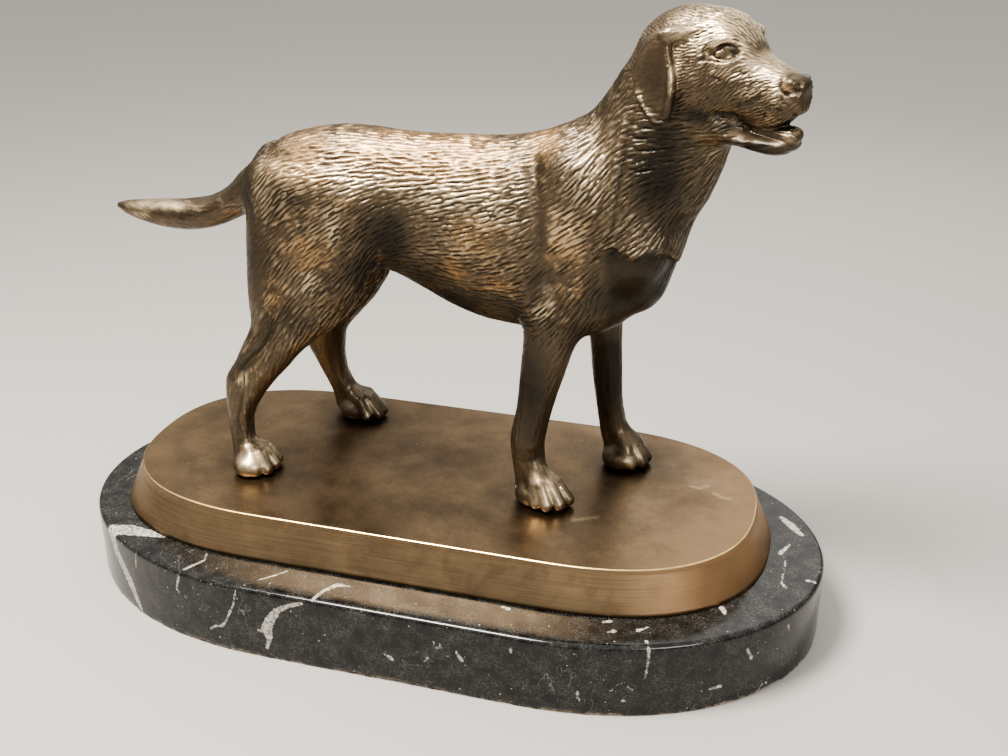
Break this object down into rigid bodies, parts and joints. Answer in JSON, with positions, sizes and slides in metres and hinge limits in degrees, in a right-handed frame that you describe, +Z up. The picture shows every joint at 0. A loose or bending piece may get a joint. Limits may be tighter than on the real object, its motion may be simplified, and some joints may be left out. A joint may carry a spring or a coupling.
{
  "type": "dog sculpture",
  "caption": "Cast bronze retriever-type dog standing with its head turned aside, on a sloped oval bronze plate and a polished black marble plinth.",
  "frame": {"origin": "middle of the plinth's flat underside, where the sculpture rests", "axes": "+X the way the dog's body faces, along the plinth's length; +Y to the dog's left; +Z up"},
  "size_m": [0.2538, 0.127, 0.1952],
  "materials": {
    "marble": "polished black marble with white veins and flecks",
    "plate_bronze": "satin brown patinated bronze with a polished top edge",
    "dog_bronze": "dark brown patinated cast bronze, worn bright on the high strokes of the coat"
  },
  "bodies": {
    "root": {"marble_plinth": "marble", "bronze_plate": "plate_bronze", "bronze_dog": "dog_bronze"}
  },
  "joints": []
}
